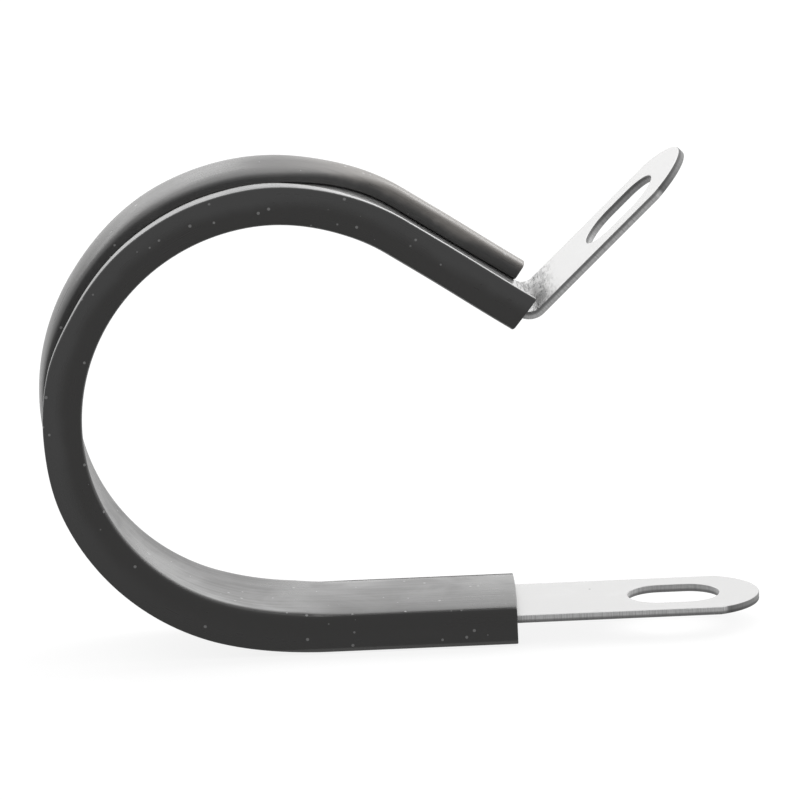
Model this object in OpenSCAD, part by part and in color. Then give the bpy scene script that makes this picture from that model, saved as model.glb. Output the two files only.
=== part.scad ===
// P clip, rubber lined, shown open as it comes before it is closed round a pipe.
// One pierced steel band, bent to a P, carries one extruded rubber liner.
//
// Frame: X runs along the axis of the loop, so the band's width lies along X.
// The lower ear is flat in the XY plane and points along +Y, and Z is up.
// The origin is the centre of the lower ear's slot, on the underside of the ear.

/* [Band] */
// Width of the steel band
band_w = 12; // [9:0.5:20]
// Thickness of the steel band
band_t = 0.8; // [0.6:0.1:1.5]
// Inside radius of the sharp bend below the upper ear
bend_r = 1.3; // [0.8:0.1:3]

/* [Ears] */
// Width of the slot in each ear
slot_w = 6.6; // [4.4:0.1:7]
// Length of the slot in each ear, end to end
slot_len = 9.2; // [8:0.1:12]
// Centre of the slot to the tip of the ear
slot_to_tip = 8.6; // [7.5:0.1:12]
// How far the rounded tip stands out past the corners where it starts
tip_rise = 4.2; // [2:0.1:4.5]
// Centre of the slot to the end of the liner on the lower leg
lower_ear_len = 16.1; // [10:0.1:30]
// Centre of the slot to the end of the sharp bend on the upper leg
upper_ear_len = 11.9; // [8:0.1:25]
// Rise of the open upper ear above the lower ear's plane, in degrees
upper_ear_a = 43.9; // [10:0.1:60]

/* [Loop] */
// Bore of the open lined loop
loop_d = 39.6; // [25:0.1:60]
// Lined length of the straight lower leg
lower_leg_len = 19; // [8:0.1:40]
// Radius of the lined face where the lower leg eases into the loop
ease_r = 34.1; // [31:0.1:80]
// Angle of that easing bend, in degrees
ease_a = 16.2; // [5:0.1:30]
// Lined length of the straight upper leg
upper_leg_len = 14.8; // [6:0.1:25]
// Fall of the open upper leg towards its ear, in degrees
upper_leg_a = 33.7; // [15:0.1:45]

/* [Liner] */
// Thickness of the liner's side walls, beside the band
side_t = 0.6; // [0.5:0.02:2]
// Thickness of the liner's floor, between the band and the pipe
floor_t = 1.2; // [0.8:0.1:3]
// Height of the lips above the outside of the band
lip_h = 2; // [1.8:0.1:4]
// Reach of each lip over the band, past the band's edge and its clearance
lip_over = 2.2; // [1.4:0.1:3.2]
// Radius of the lip's rounded nose
nose_r = 0.8; // [0.6:0.05:0.95]
// Radius of the ridge at the lip's outer edge
ridge_r = 0.3; // [0.15:0.05:0.75]
// Radius of the edges of the face that grips the pipe
edge_r = 0.6; // [0.2:0.05:0.8]
// Clearance between the band and the channel that it lies in
fit_gap = 0.04; // [0.02:0.01:0.1]

/* [Hidden] */
$fn = 96;
arc_steps = 7;
over = 1;
// Angle at which the lip's nose tucks in under itself to meet the band
foot_a = 30;
// Runs that meet end to end reach this far into each other, each later one a hair
// thinner than the one it enters, so that a bent strip or liner is one true solid
reach = 0.05;
hair = 0.002;

// Radii of the band's inside face in the two bends of the loop
band_to_bore = floor_t + fit_gap;
loop_ri = loop_d / 2 + band_to_bore;
ease_ri = ease_r + band_to_bore;
// Turns of the loop and of the sharp bend
loop_a = 180 - ease_a + upper_leg_a;
bend_a = upper_leg_a + upper_ear_a;
// Centres, as [Y, Z]
lower_run = lower_ear_len + lower_leg_len;
ease_c = [-lower_run, band_t + ease_ri];
loop_c = ease_c - (ease_ri - loop_ri) * [sin(ease_a), cos(ease_a)];
// Tip of the ear: radius of its round end, and the centre's place along from the slot
tip_r = (pow(band_w / 2, 2) + pow(tip_rise, 2)) / (2 * tip_rise);
tip_c = slot_to_tip - tip_r;
// Slot: half the straight length between its two round ends
slot_half = (slot_len - slot_w) / 2;
// Liner: half its width over the side walls, and the lip's reach in from that side
liner_half = band_w / 2 + fit_gap + side_t;
lip_reach = side_t + fit_gap + lip_over;

band();
liner();

// ---------- places along the bent strip ----------
// In each place +Y runs towards the near ear and +Z is outward, away from the pipe,
// with Z = 0 on the inside face of the band.

// Start at the centre of the lower slot
module at_lower_ear() {
    translate([0, 0, band_t]) rotate([0, 180, 0]) children();
}

// Start where the lined loop runs out into the upper leg
module at_upper_leg() {
    translate([0, loop_c[0], loop_c[1]]) rotate([-upper_leg_a, 0, 0])
        translate([0, 0, loop_ri]) children();
}

// Centre of the sharp bend, at the end of the lined upper leg
module at_sharp_bend() {
    at_upper_leg() translate([0, upper_leg_len, band_t + bend_r]) children();
}

// Centre of the upper slot
module at_upper_ear() {
    at_sharp_bend() rotate([bend_a, 0, 0])
        translate([0, upper_ear_len, -band_t - bend_r]) children();
}

// ---------- sweeps: a section drawn as [outward, across] is carried along ----------

// Straight run of a section, from Y = from to Y = to
module straight_run(from, to) {
    translate([0, from, 0]) rotate([0, -90, -90]) linear_extrude(to - from) children();
}

// Round run of a section about the X axis, from the angle start in the YZ plane,
// counted from straight down
module round_run(start, turn, radius) {
    rotate([start, 0, 0]) rotate([0, 90, 0])
        rotate_extrude(angle = turn) translate([radius, 0]) children();
}

// The two bends of the lined part; the easing bend enters the loop
module along_loop() {
    enter_a = reach / ease_ri * 180 / PI;
    translate([0, ease_c[0], ease_c[1]])
        round_run(-ease_a - enter_a, ease_a + enter_a, ease_ri) let ($thin = hair) children();
    translate([0, loop_c[0], loop_c[1]])
        round_run(-180 - upper_leg_a, loop_a, loop_ri) let ($thin = 0) children();
}

// ---------- band ----------

module strip_section() {
    translate([$thin, $thin - band_w / 2])
        square([band_t - 2 * $thin, band_w - 2 * $thin]);
}

// Flat end of the strip with its pierced slot at the origin, reaching back along -Y
module ear(back) {
    difference() {
        intersection() {
            straight_run(-back, slot_to_tip) let ($thin = 2 * hair) strip_section();
            ear_blank(back + over);
        }
        slot_cutter();
    }
}

// Outline that the press cuts: a long strip with a shallow round tip
module ear_blank(back) {
    deep = band_t + 2 * over;
    union() {
        translate([-band_w, -back, -over]) cube([2 * band_w, back + tip_c, deep]);
        translate([0, tip_c, -over]) cylinder(r = tip_r, h = deep);
    }
}

module slot_cutter() {
    deep = band_t + 2 * over;
    translate([-slot_w / 2, -slot_half, -over]) cube([slot_w, 2 * slot_half, deep]);
    for (end = [-1, 1])
        translate([0, end * slot_half, -over]) cylinder(d = slot_w, h = deep);
}

module band() {
    color("gainsboro") union() {
        at_lower_ear() ear(lower_run + reach);
        along_loop() strip_section();
        at_upper_leg() straight_run(-reach, upper_leg_len + reach)
            let ($thin = hair) strip_section();
        at_sharp_bend() round_run(0, bend_a, bend_r) let ($thin = 0) strip_section();
        at_upper_ear() ear(upper_ear_len + reach);
    }
}

// ---------- liner ----------

// Points on an arc, from angle a0 to angle a1
function arc(c, r, a0, a1, n = arc_steps) =
    [for (i = [0:n]) c + r * [cos(a0 + (a1 - a0) * i / n), sin(a0 + (a1 - a0) * i / n)]];

// Direction, seen from both centres, of the straight line that touches two circles
function touch_angle(c1, r1, c2, r2) =
    let (d = c2 - c1) atan2(d[1], d[0]) + acos((r1 - r2) / norm(d));

// One half of the liner's section, as [outward, across], from the middle of the floor
// round the side wall and the lip to the middle of the channel
function half_section(thin) =
    let (
        gap = fit_gap + thin,
        ridge_c = [band_t + lip_h - ridge_r, liner_half - ridge_r],
        nose_c = [band_t + fit_gap + nose_r * cos(foot_a), liner_half - lip_reach + nose_r],
        touch = touch_angle(ridge_c, ridge_r, nose_c, nose_r)
    )
    concat(
        arc([edge_r - band_to_bore, liner_half - edge_r], edge_r - thin, 180, 90),
        arc(ridge_c, ridge_r - thin, 90, touch),
        arc(nose_c, nose_r - thin, touch, foot_a - 180),
        [[band_t + gap, band_w / 2 + gap], [-gap, band_w / 2 + gap]]
    );

// The whole section, as one closed outline
module liner_section() {
    half = half_section($thin);
    last = len(half) - 1;
    polygon(concat(half, [for (i = [last:-1:0]) [half[i][0], -half[i][1]]]));
}

module liner() {
    color("#2b2b2a") union() {
        at_lower_ear() straight_run(-lower_run - reach, -lower_ear_len)
            let ($thin = 2 * hair) liner_section();
        along_loop() liner_section();
        at_upper_leg() straight_run(-reach, upper_leg_len)
            let ($thin = hair) liner_section();
    }
}
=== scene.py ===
import math
import bpy
import bmesh
from mathutils import Matrix, Vector, geometry, noise


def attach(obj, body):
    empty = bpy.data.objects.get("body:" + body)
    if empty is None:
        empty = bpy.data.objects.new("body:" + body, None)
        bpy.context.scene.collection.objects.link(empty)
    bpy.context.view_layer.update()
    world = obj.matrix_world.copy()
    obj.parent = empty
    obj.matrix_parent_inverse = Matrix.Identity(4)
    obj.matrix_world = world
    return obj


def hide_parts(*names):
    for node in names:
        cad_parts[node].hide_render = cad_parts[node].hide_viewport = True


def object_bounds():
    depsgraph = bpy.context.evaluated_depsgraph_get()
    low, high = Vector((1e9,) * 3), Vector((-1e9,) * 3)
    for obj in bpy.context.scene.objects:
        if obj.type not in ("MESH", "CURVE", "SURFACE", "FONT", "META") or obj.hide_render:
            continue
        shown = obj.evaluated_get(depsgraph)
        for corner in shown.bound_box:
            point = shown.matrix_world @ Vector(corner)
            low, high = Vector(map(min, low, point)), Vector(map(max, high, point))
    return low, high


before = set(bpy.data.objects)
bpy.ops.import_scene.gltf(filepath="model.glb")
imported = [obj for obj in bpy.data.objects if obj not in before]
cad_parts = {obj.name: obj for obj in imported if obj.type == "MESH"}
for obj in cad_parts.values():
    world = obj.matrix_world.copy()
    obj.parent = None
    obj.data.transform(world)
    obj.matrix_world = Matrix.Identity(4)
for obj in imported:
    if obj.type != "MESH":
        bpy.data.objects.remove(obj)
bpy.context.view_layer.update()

mm = 0.001

# Both pieces follow one bent line. It lies on the band's inside face and runs from the lower
# ear, round the loop, to the upper ear. Distances along it, in mm, count from the centre of
# the lower slot.

line = {
    "thickness": 0.8,         # of the band; the lower ear's inside face lies this high
    "lowerRun": 35.1,         # lower slot to the start of the easing bend
    "easeRadius": 35.34,      # inside face of the band in the easing bend
    "easeAngle": 16.2,
    "loopRadius": 21.04,      # inside face of the band round the loop
    "legFall": 33.7,          # fall of the upper leg, degrees
    "upperLeg": 14.8,
    "bendRadius": 1.3,        # inside radius of the sharp bend
    "earRise": 43.9,          # rise of the upper ear, degrees
    "upperEar": 11.9,         # end of the sharp bend to the upper slot
    "slotToTip": 8.6,
    "linerStart": 16.1,       # lower slot to the lower end of the liner
}


def sideOf(heading):
    return Vector((-math.sin(heading), math.cos(heading)))


def alongRun(run, step):
    # point (Y, Z) and heading that far along a straight or round run
    curve, point, heading = run["curve"], run["point"], run["heading"]
    if curve == 0:
        return point + step * Vector((math.cos(heading), math.sin(heading))), heading
    turned = heading + curve * step
    return point + (sideOf(heading) - sideOf(turned)) / curve, turned


def makeRuns(size):
    point = Vector((size["slotToTip"], size["thickness"]))
    heading = math.pi
    start = -size["slotToTip"]
    outerBend = size["thickness"] + size["bendRadius"]
    loopTurn = 180 - size["easeAngle"] + size["legFall"]
    plan = [                  # length and curvature of each run
        (size["slotToTip"] + size["lowerRun"], 0),
        (size["easeRadius"] * math.radians(size["easeAngle"]), -1 / size["easeRadius"]),
        (size["loopRadius"] * math.radians(loopTurn), -1 / size["loopRadius"]),
        (size["upperLeg"], 0),
        (outerBend * math.radians(size["legFall"] + size["earRise"]), 1 / outerBend),
        (size["upperEar"] + size["slotToTip"], 0),
    ]
    made = []
    for length, curve in plan:
        made.append({"start": start, "length": length, "curve": curve,
                     "point": point, "heading": heading})
        point, heading = alongRun(made[-1], length)
        start += length
    return made


runs = makeRuns(line)
sharpBend, upperEar = runs[4:]
linerStart = line["linerStart"]
linerEnd = sharpBend["start"]
upperSlot = upperEar["start"] + line["upperEar"]
stripEnd = upperEar["start"] + upperEar["length"]


def placeOnStrip(along, across, outward, course):
    # strip place in mm to a point in the part's frame, in metres; past the end of the course
    # its last run goes straight on
    run = course[0]
    for candidate in course[1:]:
        if along > candidate["start"]:
            run = candidate
    point, heading = alongRun(run, along - run["start"])
    point = point + outward * sideOf(heading)
    return Vector((across, point.x, point.y)) * mm


def finishMesh(bm, name, bodyName, nodeName, course):
    # bends what was built flat, keeps the flat place of each point for the materials
    bm.normal_update()
    flat = bm.verts.layers.float_vector.new("stripPlace")
    for v in bm.verts:
        v[flat] = v.co * mm
        v.co = placeOnStrip(*v.co, course)
    bmesh.ops.recalc_face_normals(bm, faces=bm.faces)
    mesh = bpy.data.meshes.new(name)
    bm.to_mesh(mesh)
    bm.free()
    for face in mesh.polygons:
        face.use_smooth = True
    piece = bpy.data.objects.new(name, mesh)
    bpy.context.scene.collection.objects.link(piece)
    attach(piece, bodyName)
    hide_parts(nodeName)
    return piece


bandLook = {
    "width": 12.0,
    "slotWidth": 6.6,
    "slotLength": 9.2,
    "tipRise": 4.2,           # how far the round tip stands out past its corners
    "edgeRound": 0.11,        # rounding left by the shear and the plating
    "edgeSteps": 4,
    "sharpAngle": 60,         # edges that turn by more than this are rounded, degrees
    "flatWeight": 60,         # weight of the larger faces in the shading, where 50 is even
    "columns": 14,            # faces across the strip
    "sideSteps": 26,
    "tipSteps": 44,
    "patchBack": 8.0,         # how far the patch round a slot reaches back from it
    "rings": (0, 0.05, 0.2, 0.4, 0.6, 0.8, 0.95, 1),   # from the slot to the outline
    "stripStep": 0.9,         # length of the faces along the strip
    "bendStep": 0.22,         # and in the sharp bend
}


def slotReach(direction, look):
    # distance from the slot's centre to its wall
    half = (look["slotLength"] - look["slotWidth"]) / 2
    radius = look["slotWidth"] / 2
    if abs(direction.y) > 1e-9:
        reach = radius / abs(direction.y)
        if abs(reach * direction.x) <= half:
            return reach
    toward = abs(direction.x) * half
    return toward + math.sqrt(toward ** 2 - half ** 2 + radius ** 2)


def earOutline(look):
    # round the patch from its straight back edge, as (towards the tip, across)
    half = look["width"] / 2
    rise = look["tipRise"]
    back = look["patchBack"]
    tipRadius = (half ** 2 + rise ** 2) / (2 * rise)
    tipCentre = line["slotToTip"] - tipRadius
    tipAngle = math.asin(half / tipRadius)
    corner = line["slotToTip"] - rise
    points = []
    for i in range(look["columns"]):
        points.append(Vector((-back, -half + 2 * half * i / look["columns"])))
    for i in range(look["sideSteps"]):
        points.append(Vector((-back + (corner + back) * i / look["sideSteps"], half)))
    for i in range(look["tipSteps"]):
        a = tipAngle - 2 * tipAngle * i / look["tipSteps"]
        points.append(Vector((tipCentre + tipRadius * math.cos(a), tipRadius * math.sin(a))))
    for i in range(look["sideSteps"]):
        points.append(Vector((corner - (corner + back) * i / look["sideSteps"], -half)))
    return points


def addEar(look, sheet, faces, centre, sign):
    # rings from the slot's wall to the outline; returns the points of the back edge
    outline = earOutline(look)
    count = len(outline)
    first = len(sheet)
    for ring in look["rings"]:
        for p in outline:
            direction = p.normalized()
            inner = direction * slotReach(direction, look)
            q = inner.lerp(p, ring)
            sheet.append((centre + sign * q.x, q.y))
    for r in range(len(look["rings"]) - 1):
        for i in range(count):
            j = (i + 1) % count
            faces.append((first + r * count + i, first + r * count + j,
                          first + (r + 1) * count + j, first + (r + 1) * count + i))
    lastRing = first + (len(look["rings"]) - 1) * count
    return [lastRing + i for i in range(look["columns"] + 1)]


def stripStops(look):
    # distances along, between the two ears, where the strip is parted into faces
    start, end = look["patchBack"], upperSlot - look["patchBack"]
    stops = [start]
    for run in runs:
        edge = min(max(run["start"] + run["length"], start), end)
        if edge > stops[-1] + 1e-6:
            step = look["bendStep"] if run is sharpBend else look["stripStep"]
            pieces = max(1, math.ceil((edge - stops[-1]) / step))
            base = stops[-1]
            stops += [base + (edge - base) * (k + 1) / pieces for k in range(pieces)]
    return stops[1:-1]


def facesBetween(row, nextRow):
    return [(row[i], row[i + 1], nextRow[i + 1], nextRow[i]) for i in range(len(row) - 1)]


def rimEdges(faces):
    # edges that only one face uses
    uses = {}
    for face in faces:
        for a, b in zip(face, face[1:] + face[:1]):
            key = (min(a, b), max(a, b))
            uses[key] = uses.get(key, 0) + 1
    return [key for key, count in uses.items() if count == 1]


def buildBand(look):
    sheet = []                # flat points (along, across)
    faces = []
    half = look["width"] / 2
    columns = look["columns"]
    row = addEar(look, sheet, faces, 0, -1)
    upperRow = addEar(look, sheet, faces, upperSlot, 1)
    for stop in stripStops(look):
        nextRow = [len(sheet) + i for i in range(columns + 1)]
        sheet += [(stop, -half + 2 * half * i / columns) for i in range(columns + 1)]
        faces += facesBetween(row, nextRow)
        row = nextRow
    faces += facesBetween(row, upperRow)

    bm = bmesh.new()
    inside = [bm.verts.new((a, c, 0)) for a, c in sheet]
    outside = [bm.verts.new((a, c, line["thickness"])) for a, c in sheet]
    for face in faces:
        bm.faces.new([inside[i] for i in face])
        bm.faces.new([outside[i] for i in reversed(face)])
    for a, b in rimEdges(faces):
        bm.faces.new((inside[a], inside[b], outside[b], outside[a]))
    bmesh.ops.recalc_face_normals(bm, faces=bm.faces)
    sharp = [e for e in bm.edges if e.calc_face_angle(0) > math.radians(look["sharpAngle"])
             and abs(e.verts[0].co.z - e.verts[1].co.z) < 1e-6]
    bmesh.ops.bevel(bm, geom=sharp, offset=look["edgeRound"], segments=look["edgeSteps"],
                    profile=0.5, affect="EDGES", clamp_overlap=True)
    piece = finishMesh(bm, "steelBand", "root", "band", runs)
    weighted = piece.modifiers.new("flatFaces", "WEIGHTED_NORMAL")
    weighted.mode = "FACE_AREA"
    weighted.weight = look["flatWeight"]
    return piece


steelBand = buildBand(bandLook)
print("steel band:", len(steelBand.data.polygons), "faces")


# What changes along the liner is a row of (distance along, value), with smooth changes
# between. Where there are two rows, they are for the near and the far side.

linerLook = {
    "sideWall": 0.6,
    "floor": 1.2,
    "gap": 0.04,              # clearance round the band
    "lipHeight": 2.0,
    # how far the lips reach over the band: most near the top of the loop, where the stretch
    # draws them in
    "lipOver": ((16, 1.1), (60, 1.2), (99, 3.95), (104, 3.9), (118, 0.7), (132, 0.6)),
    # on the upper leg the rubber sags off the band
    "sag": ((16, 0), (103, 0), (112, 0.12), (122, 0.12), (131, 0.22)),
    # how much a lip stands above or below its even height
    "lipRise": (((16, 0), (36, 0), (46, 0.2), (64, 0.2), (71, 0), (77, 0),
                 (83, -0.3), (91, -0.15), (99, -0.08), (105, 0)),
                ((16, 0), (62, 0), (70, -0.25), (84, -0.3), (95, 0), (108, 0), (118, 0.25))),
    # from the lip's top to where its flank turns straight down
    "swellDrop": (((16, 0.4), (70, 0.4), (82, 1.3), (96, 1.4), (106, 1.25), (112, 0.7),
                   (118, 0.3)),
                  ((16, 0.4), (72, 0.4), (84, 0.8), (98, 1.15), (105, 1.25), (112, 1.1),
                   (120, 0.55))),
    # crown of the face that grips the pipe; below 0 the face is hollow
    "crown": ((16, 0.26), (32, 0.26), (44, -0.3), (56, -0.45), (75, -0.45), (100, -0.2),
              (118, 0.05)),
    "lipWave": 0.05,          # slight unevenness of the lips' noses
    "waveRate": 0.13,
    "waveRow": 4.2,           # picks one row of the noise
    "lipLean": 0.05,          # the side walls lean in this much above the band
    "leanStart": 0.3,         # from this far above it
    "noseRadius": 0.5,
    "ridgeRadius": 0.15,
    "edgeRadius": 0.6,
    "footAngle": 30,          # how far the nose tucks in under itself, degrees
    "edgeSteps": 8,
    "arcSteps": 6,
    "swellSteps": 16,
    "floorSteps": 10,
    "step": 0.7,              # length of the faces along the strip
    "endRound": 0.12,         # softened edge of the cut ends
    "endSteps": 4,
    # the knife ran off square: how far the near and the far side of each cut end stand out,
    # how far the cut leans from the bore to the lips, and how far it bows across
    "lowerCut": {"near": 0.05, "far": 0.42, "lean": 0.05, "bow": 0.08},
    "upperCut": {"near": 0.42, "far": -0.15, "lean": 0.34, "bow": 0.05},
    "cutBlend": 2.5,          # length over which a skew end fades into the even liner
}


def arcPoints(centre, radius, first, last, count):
    out = []
    for i in range(count + 1):
        a = math.radians(first + (last - first) * i / count)
        out.append(Vector((centre[0] + radius * math.cos(a), centre[1] + radius * math.sin(a))))
    return out


def spread(a, b, count):
    # the points that part the way from a to b into that many steps
    return [a.lerp(b, i / count) for i in range(1, count)]


def smoothStep(low, high, value):
    t = min(max((value - low) / (high - low), 0), 1)
    return t * t * (3 - 2 * t)


def alongCurve(points, along):
    for (a, low), (b, high) in zip(points, points[1:]):
        if along <= b:
            return low + (high - low) * smoothStep(a, b, along)
    return points[-1][1]


def linerHalfWidth(look):
    return bandLook["width"] / 2 + look["gap"] + look["sideWall"]


def linerHalf(look, thin, along, side):
    # half of the section as (outward, across), from the middle of the floor round the lip
    # and back along the channel; thin draws every face in by that much
    wave = look["lipWave"] * noise.noise(Vector((along * look["waveRate"], look["waveRow"], 0)))
    over = alongCurve(look["lipOver"], along) + wave
    sag = alongCurve(look["sag"], along)
    height = look["lipHeight"] - sag + alongCurve(look["lipRise"][side], along)
    half = linerHalfWidth(look)
    bore = -look["floor"] - look["gap"] - sag
    thickness = line["thickness"]
    top = thickness + height
    ridge = Vector((top - look["ridgeRadius"], half - look["lipLean"] - look["ridgeRadius"]))
    noseTip = half - look["sideWall"] - look["gap"] - over
    noseLift = look["noseRadius"] * math.cos(math.radians(look["footAngle"]))
    nose = Vector((thickness + look["gap"] + noseLift, noseTip + look["noseRadius"]))
    edge = arcPoints((bore + look["edgeRadius"], half - look["edgeRadius"]),
                     look["edgeRadius"] - thin, 180, 90, look["edgeSteps"])
    corner = arcPoints(ridge, look["ridgeRadius"] - thin, 90, 0, look["arcSteps"])
    # the lip's top is one swell from the ridge down to the nose
    drop = alongCurve(look["swellDrop"][side], along)
    long, tall = ridge.y - noseTip - thin, drop - thin
    swell = []
    for i in range(1, look["swellSteps"] + 1):
        a = math.radians(90 * i / look["swellSteps"])
        swell.append(Vector((top - drop + tall * math.cos(a), ridge.y - long * math.sin(a))))
    tuck = arcPoints(nose, look["noseRadius"] - thin, -90, look["footAngle"] - 180,
                     look["arcSteps"])
    g = look["gap"] + thin
    channel = [Vector((thickness + g, bandLook["width"] / 2 + g)),
               Vector((-g, bandLook["width"] / 2 + g)), Vector((-g, 0))]
    middle = Vector((bore + thin, 0))
    floor = spread(middle, edge[0], look["floorSteps"])
    crown = alongCurve(look["crown"], along)
    for p in [middle] + floor + edge[:look["edgeSteps"] // 2 + 1]:
        p.x += crown * ((p.y / half) ** 2 - (crown < 0))
    level = Vector((thickness + look["leanStart"], half - thin))
    outline = [middle] + floor + edge
    outline += spread(edge[-1], level, 4) + [level]
    outline += spread(level, corner[0], 5) + corner + swell
    outline += spread(swell[-1], tuck[0], 3) + tuck
    outline += spread(tuck[-1], channel[0], 3) + [channel[0]]
    outline += spread(channel[0], channel[1], 2) + [channel[1]]
    outline += spread(channel[1], channel[2], 6) + [channel[2]]
    return outline


def cutShift(look, along, across, outward):
    # the two cut ends are neither quite square nor quite flat
    share = (across / linerHalfWidth(look) + 1) / 2
    level = (outward - line["thickness"]) / (2 * look["lipHeight"])
    shift = 0
    for cut, end, sign in ((look["lowerCut"], linerStart, -1), (look["upperCut"], linerEnd, 1)):
        out = cut["far"] + (cut["near"] - cut["far"]) * share + cut["bow"] * 4 * share * (1 - share)
        out += cut["lean"] * level * share
        shift += sign * out * smoothStep(end - sign * look["cutBlend"], end, along)
    return shift


def linerStations(look):
    # sections along the liner, as (along, thin); at the cut ends they close in round the edge
    rounding = look["endRound"]
    first, last = linerStart + rounding, linerEnd - rounding
    turns = [math.radians(90 * i / look["endSteps"]) for i in range(look["endSteps"] + 1)]
    count = math.ceil((last - first) / look["step"])
    stations = [(linerStart + rounding * (1 - math.sin(a)), rounding * (1 - math.cos(a)))
                for a in reversed(turns)]
    stations += [(first + (last - first) * i / count, 0) for i in range(1, count + 1)]
    stations += [(last + rounding * math.sin(a), rounding * (1 - math.cos(a)))
                 for a in turns[1:]]
    return stations


def buildLiner(look):
    bm = bmesh.new()
    loops = []
    for along, thin in linerStations(look):
        near = linerHalf(look, thin, along, 0)
        far = linerHalf(look, thin, along, 1)
        whole = near + [Vector((p.x, -p.y)) for p in reversed(far[1:-1])]
        loops.append([bm.verts.new((along + cutShift(look, along, p.y, p.x), p.y, p.x))
                      for p in whole])
    around = len(loops[0])
    for a, b in zip(loops, loops[1:]):
        for i in range(around):
            j = (i + 1) % around
            bm.faces.new((a[i], a[j], b[j], b[i]))
    # the cut ends, filled as they lie in the section so that none crosses the mouth
    for loop, facing in ((loops[0], -1), (loops[-1], 1)):
        flat = [Vector((v.co.y, v.co.z, 0)) for v in loop]
        for trio in geometry.tessellate_polygon([flat]):
            a, b, c = (flat[i] for i in trio)
            turned = (b - a).cross(c - a).z * facing < 0
            bm.faces.new([loop[i] for i in (reversed(trio) if turned else trio)])
    return finishMesh(bm, "rubberLiner", "root", "liner", runs[:4])


rubberLiner = buildLiner(linerLook)
print("rubber liner:", len(rubberLiner.data.polygons), "faces")


def emptyTree(owner, outputKind):
    # node tree of a material or the world with nothing but its output
    owner.use_nodes = True
    tree = owner.node_tree
    tree.nodes.clear()
    return tree, tree.nodes.new(outputKind).inputs["Surface"]


def newMaterial(name):
    material = bpy.data.materials.new(name)
    tree, surface = emptyTree(material, "ShaderNodeOutputMaterial")
    shader = tree.nodes.new("ShaderNodeBsdfPrincipled")
    tree.links.new(shader.outputs["BSDF"], surface)
    return material, tree, shader


def addNode(tree, kind, values=None, **settings):
    # values are numbers or sockets, by input name or number
    made = tree.nodes.new(kind)
    for key, value in settings.items():
        setattr(made, key, value)
    for key, value in (values or {}).items():
        if isinstance(value, bpy.types.NodeSocket):
            tree.links.new(value, made.inputs[key])
        else:
            made.inputs[key].default_value = value
    return made


def calculate(tree, operation, a, b=0.0):
    return addNode(tree, "ShaderNodeMath", {0: a, 1: b}, operation=operation).outputs[0]


def times(tree, first, *others):
    for other in others:
        first = calculate(tree, "MULTIPLY", first, other)
    return first


def plus(tree, first, *others):
    for other in others:
        first = calculate(tree, "ADD", first, other)
    return first


def ramp(tree, value, low, high, toLow=0.0, toHigh=1.0):
    # smooth change from toLow to toHigh while the value goes from low to high
    made = addNode(tree, "ShaderNodeMapRange",
                   {"Value": value, "From Min": low, "From Max": high,
                    "To Min": toLow, "To Max": toHigh},
                   interpolation_type="SMOOTHSTEP")
    return made.outputs["Result"]


def blend(tree, factor, a, b):
    # 6 and 7 are the node's two colours, and 2 is the colour that it puts out
    return addNode(tree, "ShaderNodeMix", {0: factor, 6: a, 7: b}, data_type="RGBA").outputs[2]


def stretched(tree, place, pull):
    return addNode(tree, "ShaderNodeVectorMath", {0: place, 1: pull},
                   operation="MULTIPLY").outputs[0]


def addBump(tree, shader, height, strength, depth):
    bump = addNode(tree, "ShaderNodeBump",
                   {"Height": height, "Strength": strength, "Distance": depth})
    tree.links.new(bump.outputs[0], shader.inputs["Normal"])


def grey(level, warm=0.0):
    return (level * (1 + warm), level, level * (1 - warm), 1)


def newGroup(name, inputs, outputs):
    group = bpy.data.node_groups.new(name, "ShaderNodeTree")
    for label, kind in inputs:
        group.interface.new_socket(name=label, in_out="INPUT", socket_type=kind)
    for label, kind in outputs:
        group.interface.new_socket(name=label, in_out="OUTPUT", socket_type=kind)
    return group, group.nodes.new("NodeGroupInput").outputs, group.nodes.new("NodeGroupOutput")


def makeStreakGroup():
    # lines that run along the strip, as rolling and extrusion leave them
    group, given, out = newGroup(
        "lengthStreaks",
        [("Place", "NodeSocketVector"), ("Along", "NodeSocketFloat"),
         ("Across", "NodeSocketFloat"), ("Detail", "NodeSocketFloat")],
        [("Value", "NodeSocketFloat")])
    pull = addNode(group, "ShaderNodeCombineXYZ",
                   {0: given["Along"], 1: given["Across"], 2: given["Across"]})
    drawn = stretched(group, given["Place"], pull.outputs[0])
    lines = addNode(group, "ShaderNodeTexNoise",
                    {"Vector": drawn, "Scale": 1.0, "Detail": given["Detail"]})
    group.links.new(lines.outputs[0], out.inputs["Value"])
    return group


def makeSpeckGroup():
    # scattered round specks, one at most in each cell
    group, given, out = newGroup(
        "specks",
        [("Place", "NodeSocketVector"), ("Scale", "NodeSocketFloat"),
         ("Share", "NodeSocketFloat"), ("Size", "NodeSocketFloat")],
        [("Mask", "NodeSocketFloat")])
    cells = addNode(group, "ShaderNodeTexVoronoi",
                    {"Vector": given["Place"], "Scale": given["Scale"]})
    chance = addNode(group, "ShaderNodeSeparateColor", {0: cells.outputs["Color"]})
    held = calculate(group, "LESS_THAN", chance.outputs[0], given["Share"])
    reach = times(group, given["Size"], ramp(group, chance.outputs[1], 0, 1, 0.35, 1))
    near = calculate(group, "DIVIDE", cells.outputs["Distance"], reach)
    spot = ramp(group, near, 0.6, 1, 1, 0)
    group.links.new(times(group, held, spot), out.inputs["Mask"])
    return group


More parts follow.
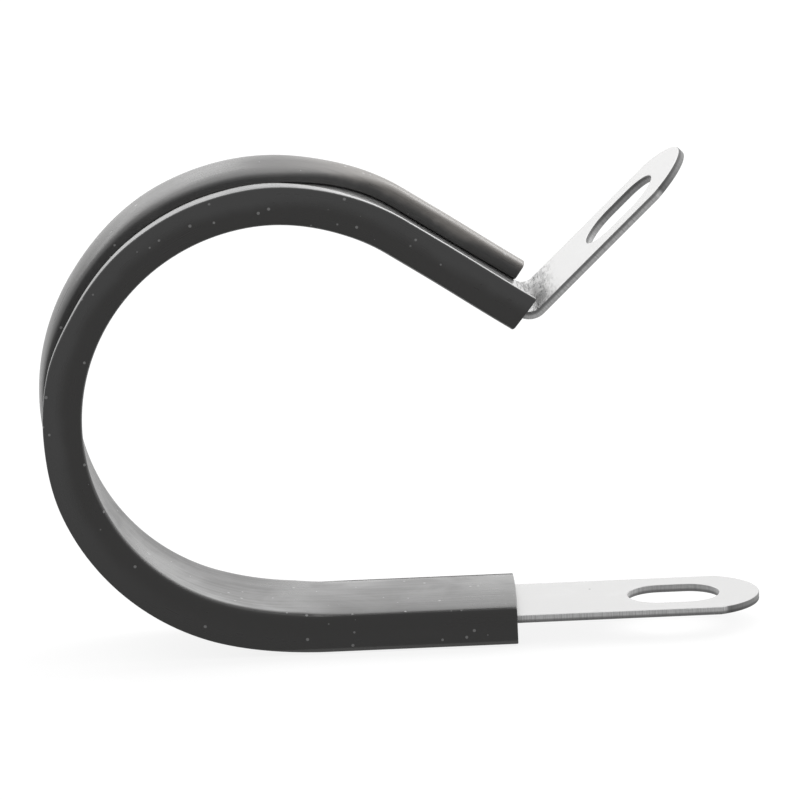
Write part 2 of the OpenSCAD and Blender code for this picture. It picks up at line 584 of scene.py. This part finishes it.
def makeSmudgeGroup():
    # soft patches, such as handling marks
    group, given, out = newGroup(
        "smudges",
        [("Place", "NodeSocketVector"), ("Scale", "NodeSocketFloat"),
         ("Start", "NodeSocketFloat"), ("Full", "NodeSocketFloat")],
        [("Mask", "NodeSocketFloat")])
    clouds = addNode(group, "ShaderNodeTexNoise",
                     {"Vector": given["Place"], "Scale": given["Scale"], "Detail": 4.0,
                      "Roughness": 0.6, "Distortion": 0.4})
    mask = ramp(group, clouds.outputs[0], given["Start"], given["Full"])
    group.links.new(mask, out.inputs["Mask"])
    return group


streakGroup = makeStreakGroup()
speckGroup = makeSpeckGroup()
smudgeGroup = makeSmudgeGroup()


def placeGroup(tree, group, place, values):
    made = tree.nodes.new("ShaderNodeGroup")
    made.node_tree = group
    tree.links.new(place, made.inputs["Place"])
    for key, value in values.items():
        made.inputs[key].default_value = value
    return made.outputs[0]


def stripPlace(tree):
    # the flat place in metres: along, across, outward
    place = addNode(tree, "ShaderNodeAttribute", attribute_name="stripPlace").outputs["Vector"]
    parts = addNode(tree, "ShaderNodeSeparateXYZ", {0: place})
    return place, parts.outputs[0], parts.outputs[1], parts.outputs[2]


rubberLook = {
    "tone": 0.045,            # inner part of the walls, beside the band
    "paintedLipLight": 0.088,         # painted light: the lips' walls, painted paler where more light falls on them
    "paintedFarLipHighlight": 0.33,          # painted highlight on the top of the far lip
    "paintedNearLipHighlight": 0.52,      # and on the near one, painted paler still
    "toneScuff": 0.075,
    "toneDust": 0.5,
    "roughness": 0.27,
    "roughnessWorn": 0.42,
    "refraction": 1.6,
    "grainScale": 9000.0,
    "bumpStrength": 0.35,
    "bumpDepth": 0.00004,     # metres
    "lines": {"Along": 60, "Across": 2600, "Detail": 3},
    "broadLines": {"Along": 90, "Across": 700, "Detail": 2},
    "dust": {"Scale": 900, "Share": 0.6, "Size": 0.17},
    "crumbs": {"Scale": 300, "Share": 0.4, "Size": 0.09},
    "scuffs": {"Scale": 330, "Start": 0.6, "Full": 0.75},
    "handMarks": {"Scale": 120, "Start": 0.4, "Full": 0.7},
}


def makeRubber(look):
    material, tree, shader = newMaterial("blackRubber")
    place, along, across, outward = stripPlace(tree)
    lines = placeGroup(tree, streakGroup, place, look["lines"])
    broad = placeGroup(tree, streakGroup, place, look["broadLines"])
    dust = placeGroup(tree, speckGroup, place, look["dust"])
    crumbs = placeGroup(tree, speckGroup, place, look["crumbs"])
    scuffs = placeGroup(tree, smudgeGroup, place, look["scuffs"])
    hands = placeGroup(tree, smudgeGroup, place, look["handMarks"])
    aside = calculate(tree, "ABSOLUTE", across)
    # painted light: the wall is painted paler above the band's level, less so on the lower leg,
    # with an uneven border
    border = plus(tree, outward, times(tree, broad, 0.0006), times(tree, hands, 0.0005))
    lip = times(tree, ramp(tree, border, 0.0007, 0.0023),
                ramp(tree, along, 0.045, 0.075, 0.15, 1))
    tone = blend(tree, lip, grey(look["tone"], 0.03), grey(look["paintedLipLight"]))
    # painted highlight: the lips' tops are painted paler, mostly past the top of the loop
    top = times(tree, ramp(tree, border, 0.0019, 0.0029),
                ramp(tree, aside, 0.00645, 0.00656, 1, 0),
                ramp(tree, lines, 0.25, 0.7, 0.7, 1),
                ramp(tree, along, 0.104, 0.118, 0.12, 1))
    paintedLipHighlight = blend(tree, ramp(tree, across, 0.004, 0.005), grey(look["paintedFarLipHighlight"], 0.06),
                    grey(look["paintedNearLipHighlight"]))
    tone = blend(tree, top, tone, paintedLipHighlight)
    faint = times(tree, scuffs, ramp(tree, lines, 0.35, 0.7, 0, 0.5))
    tone = blend(tree, faint, tone, grey(look["toneScuff"]))
    marks = calculate(tree, "MAXIMUM", dust, crumbs)
    tone = blend(tree, times(tree, marks, 0.6), tone, grey(look["toneDust"]))
    tree.links.new(tone, shader.inputs["Base Color"])
    worn = plus(tree, times(tree, hands, 0.5), ramp(tree, lines, 0.3, 0.75, 0, 0.4))
    rough = ramp(tree, worn, 0, 1, look["roughness"], look["roughnessWorn"])
    tree.links.new(rough, shader.inputs["Roughness"])
    shader.inputs["IOR"].default_value = look["refraction"]
    grain = addNode(tree, "ShaderNodeTexNoise",
                    {"Vector": place, "Scale": look["grainScale"], "Detail": 2.0}).outputs[0]
    # the side walls come out of the die smoother than the face that grips the pipe
    drag = times(tree, lines, ramp(tree, aside, 0.006, 0.0064, 0.6, 0.15))
    height = plus(tree, drag, times(tree, grain, 0.25), times(tree, marks, 0.8))
    addBump(tree, shader, height, look["bumpStrength"], look["bumpDepth"])
    return material


zincLook = {
    "tone": 0.46,
    "toneRolled": 0.42,       # in the lines of the rolling
    "toneMark": 0.5,
    "toneStrain": 0.2,        # plating crazed in the sharp bend
    "toneSpeck": 0.05,
    "toneCut": 0.78,          # sheared edges
    "toneCutDark": 0.22,      # their torn part
    "toneSlotsAndTipShade": 0.1,       # darkens the slots' walls, and paints shade on the tips
    "roughness": 0.34,
    "roughnessRolled": 0.44,
    "roughnessCut": 0.8,
    "metallic": 0.94,
    "bumpStrength": 0.3,
    "bumpDepth": 0.00003,     # metres
    "lines": {"Along": 40, "Across": 1500, "Detail": 4},
    "broadLines": {"Along": 60, "Across": 400, "Detail": 2},
    "marks": {"Scale": 260, "Start": 0.55, "Full": 0.8},
    "specks": {"Scale": 1100, "Share": 0.04, "Size": 0.16},
    "mottle": {"Scale": 700, "Start": 0.46, "Full": 0.56},
    "pits": {"Scale": 1200, "Share": 0.6, "Size": 0.6},
    "strainPull": (3.5, 1, 1),        # shortens the marks of the strain along the strip
    "tornPull": (7000, 7000, 400),    # draws the torn lines out through the thickness
}


def strainMarks(tree, look, place, along, across):
    # the sharp bend is strained: mottled, with dark pits, and rubbed beside the bend
    strained = stretched(tree, place, look["strainPull"])
    mottle = placeGroup(tree, smudgeGroup, strained, look["mottle"])
    pits = placeGroup(tree, speckGroup, strained, look["pits"])
    start = sharpBend["start"] * mm
    end = start + sharpBend["length"] * mm
    bent = times(tree, ramp(tree, along, start - 0.0002, start + 0.0004),
                 ramp(tree, along, end + 0.0006, end + 0.0034, 1, 0))
    crazed = times(tree, bent, mottle)
    pitted = times(tree, bent, pits, ramp(tree, mottle, 0, 1, 0.4, 1))
    rubbed = times(tree, ramp(tree, along, end - 0.0002, end),
                   ramp(tree, along, end + 0.0012, end + 0.0014, 1, 0),
                   ramp(tree, across, 0.0012, 0.0016),
                   ramp(tree, across, 0.0046, 0.005, 1, 0))
    return crazed, pitted, rubbed


def shearedWall(tree, look, place, along, across, outward):
    # bright near the inside face, torn and darker near the outside one
    wall = times(tree, ramp(tree, outward, 0.00001, 0.00004),
                 ramp(tree, outward, 0.00076, 0.00079, 1, 0))
    torn = addNode(tree, "ShaderNodeTexNoise",
                   {"Vector": stretched(tree, place, look["tornPull"]), "Scale": 1.0,
                    "Detail": 3.0}).outputs[0]
    bright = times(tree, ramp(tree, outward, 0.00035, 0.0006, 1, 0.25),
                   ramp(tree, torn, 0.3, 0.6, 0.7, 1))
    cut = blend(tree, bright, grey(look["toneCutDark"]), grey(look["toneCut"]))
    # the long edges are paler than the slots' walls; the tips get the darkest tone, which is
    # painted shade
    tipShade = plus(tree, ramp(tree, along, -0.0052, -0.0048, 1, 0),
                ramp(tree, along, stripEnd * mm - 0.0038, stripEnd * mm - 0.0034))
    darkSlotsAndTipShade = blend(tree, ramp(tree, tipShade, 0, 1, 0.35, 0.7), cut, grey(look["toneSlotsAndTipShade"]))
    longEdge = ramp(tree, calculate(tree, "ABSOLUTE", across), 0.0056, 0.0059)
    return wall, torn, blend(tree, longEdge, darkSlotsAndTipShade, cut)


def makeZinc(look):
    material, tree, shader = newMaterial("brightZinc")
    place, along, across, outward = stripPlace(tree)
    lines = placeGroup(tree, streakGroup, place, look["lines"])
    broad = placeGroup(tree, streakGroup, place, look["broadLines"])
    marks = placeGroup(tree, smudgeGroup, place, look["marks"])
    specks = placeGroup(tree, speckGroup, place, look["specks"])
    crazed, pitted, rubbed = strainMarks(tree, look, place, along, across)
    pitted = calculate(tree, "MAXIMUM", specks, pitted)
    wall, torn, cut = shearedWall(tree, look, place, along, across, outward)

    rolled = plus(tree, times(tree, lines, 0.6), times(tree, broad, 0.4))
    tone = blend(tree, ramp(tree, rolled, 0.3, 0.7), grey(look["toneRolled"], 0.004),
                 grey(look["tone"], 0.004))
    for mask, share, toneName in ((marks, 0.35, "toneMark"), (crazed, 0.75, "toneStrain"),
                                  (rubbed, 0.8, "toneStrain"), (pitted, 0.85, "toneSpeck")):
        tone = blend(tree, times(tree, mask, share), tone, grey(look[toneName]))
    tone = blend(tree, wall, tone, cut)
    tree.links.new(tone, shader.inputs["Base Color"])
    shader.inputs["Metallic"].default_value = look["metallic"]
    rough = ramp(tree, plus(tree, rolled, times(tree, crazed, 0.3)), 0.3, 0.8,
                 look["roughness"], look["roughnessRolled"])
    rough = ramp(tree, wall, 0, 1, rough, look["roughnessCut"])
    tree.links.new(rough, shader.inputs["Roughness"])
    height = plus(tree, times(tree, lines, 0.5), times(tree, pitted, -0.8),
                  times(tree, crazed, 0.9), times(tree, wall, torn, 1.5))
    addBump(tree, shader, height, look["bumpStrength"], look["bumpDepth"])
    return material


rubber = makeRubber(rubberLook)
zinc = makeZinc(zincLook)
rubberLiner.data.materials.append(rubber)
steelBand.data.materials.append(zinc)
# the solids that the two pieces stand for get the same finish
for nodeName, material in (("liner", rubber), ("band", zinc)):
    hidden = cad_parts[nodeName]
    hidden.data.materials.clear()
    hidden.data.materials.append(material)
print("rubber and zinc ready")


studio = {
    "middle": -0.027,         # Y of the middle of the clip
    "floorSize": 4.0,
    "floorDrop": 0.0002,      # below the clip's lowest point
    "floorColour": 0.2,
    "floorLift": 0.84,        # glow of the floor where it is looked at
    "worldLight": 0.5,
    "cardGlow": 0.42,
    # X, height over the lowest point, turn in degrees, and size
    "cards": {"uprightCard": (0.4, 0.3, 90, (0.6, 1.0)),
              "lowCard": (0.2034, 0.0003, 0, (0.3932, 1.0))},
    # place, width, depth, and the panel's own brightness, where 1 is white
    "lamps": {"topSoftbox": ((-0.3, 0.1, 0.75), 1.5, 0.9, 1.25),
              "highSoftbox": ((-0.68, -0.46, 0.5), 0.84, 0.4, 1.75),
              "backSoftbox": ((-0.9, -0.02, 0.2), 0.9, 0.42, 0.72),
              "sideSoftbox": ((-0.42, 0.72, 0.5), 0.6, 0.5, 2.4)},
    "lampTarget": (0, -0.027, 0.022),
}


def whiteForViews(tree):
    # 1 for what the camera, a mirror or clear glass sees
    path = tree.nodes.new("ShaderNodeLightPath").outputs
    seen = calculate(tree, "MAXIMUM", path["Is Camera Ray"], path["Is Glossy Ray"])
    return calculate(tree, "MAXIMUM", seen, path["Is Transmission Ray"])


def makeWorld(look):
    world = bpy.data.worlds.new("studioWorld")
    bpy.context.scene.world = world
    tree, surface = emptyTree(world, "ShaderNodeOutputWorld")
    strength = addNode(tree, "ShaderNodeMapRange",
                       {"Value": whiteForViews(tree), "To Min": look["worldLight"],
                        "To Max": 1.0})
    glow = addNode(tree, "ShaderNodeBackground",
                   {"Color": grey(1.0), "Strength": strength.outputs["Result"]})
    tree.links.new(glow.outputs["Background"], surface)


def makeFloor(look, lowest):
    bpy.ops.mesh.primitive_plane_add(size=look["floorSize"],
                                     location=(0, look["middle"], lowest - look["floorDrop"]))
    floor = bpy.context.object
    floor.name = "studioFloor"
    material = bpy.data.materials.new("paleFloor")
    tree, surface = emptyTree(material, "ShaderNodeOutputMaterial")
    matt = addNode(tree, "ShaderNodeBsdfDiffuse", {"Color": grey(look["floorColour"])})
    lift = addNode(tree, "ShaderNodeEmission",
                   {"Strength": times(tree, whiteForViews(tree), look["floorLift"])})
    both = addNode(tree, "ShaderNodeAddShader", {0: matt.outputs[0], 1: lift.outputs[0]})
    tree.links.new(both.outputs[0], surface)
    floor.data.materials.append(material)


def makeCards(look, lowest):
    # grey cards before and below the near side, seen only in gloss, so that bright edges
    # stand out
    material = bpy.data.materials.new("cardGrey")
    tree, surface = emptyTree(material, "ShaderNodeOutputMaterial")
    glow = addNode(tree, "ShaderNodeEmission", {"Strength": look["cardGlow"]})
    tree.links.new(glow.outputs[0], surface)
    for name, (x, height, turn, size) in look["cards"].items():
        bpy.ops.mesh.primitive_plane_add(size=1, location=(x, look["middle"], lowest + height),
                                         rotation=(0, math.radians(turn), 0))
        card = bpy.context.object
        card.name = name
        card.scale = (*size, 1)
        card.visible_camera = False
        card.visible_diffuse = False
        card.visible_shadow = False
        card.visible_transmission = False
        card.data.materials.append(material)


def addLamp(name, place, wide, deep, glow, target):
    data = bpy.data.lights.new(name, "AREA")
    data.shape = "RECTANGLE"
    data.size = wide
    data.size_y = deep
    data.energy = glow * math.pi * wide * deep
    lamp = bpy.data.objects.new(name, data)
    bpy.context.scene.collection.objects.link(lamp)
    # the panel faces the target and its wide side runs along Y
    back = (Vector(place) - Vector(target)).normalized()
    side = (Vector((0, 1, 0)) - back.y * back).normalized()
    lamp.matrix_world = (Matrix.Translation(place)
                         @ Matrix((side, back.cross(side), back)).transposed().to_4x4())
    lamp.visible_camera = False


makeWorld(studio)
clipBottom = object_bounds()[0].z
makeFloor(studio, clipBottom)
makeCards(studio, clipBottom)
for lampName, panel in studio["lamps"].items():
    addLamp(lampName, *panel, studio["lampTarget"])
print("studio ready")


viewpoint = {
    "target": (0, -0.02684, 0.022016),
    "distance": 3.2,
    "turn": -2.9,             # degrees round from square on to the loop
    "height": 15.0,
    "roll": -1.68,
    "lens": 1440.0,
}


def makeCamera(view):
    turn, height, roll = (math.radians(view[k]) for k in ("turn", "height", "roll"))
    back = Vector((math.cos(height) * math.cos(turn), math.cos(height) * math.sin(turn),
                   math.sin(height)))
    right = Vector((-math.sin(turn), math.cos(turn), 0))
    up = back.cross(right)
    tiltedRight = math.cos(roll) * right + math.sin(roll) * up
    tiltedUp = -math.sin(roll) * right + math.cos(roll) * up
    data = bpy.data.cameras.new("shopCamera")
    data.lens = view["lens"]
    data.sensor_width = 36
    data.clip_start = 0.01
    camera = bpy.data.objects.new("shopCamera", data)
    bpy.context.scene.collection.objects.link(camera)
    spot = Vector(view["target"]) + view["distance"] * back
    turnMatrix = Matrix((tiltedRight, tiltedUp, back)).transposed()
    camera.matrix_world = Matrix.Translation(spot) @ turnMatrix.to_4x4()
    bpy.context.scene.camera = camera


makeCamera(viewpoint)
bpy.context.scene.view_settings.view_transform = "Standard"

print("camera ready")
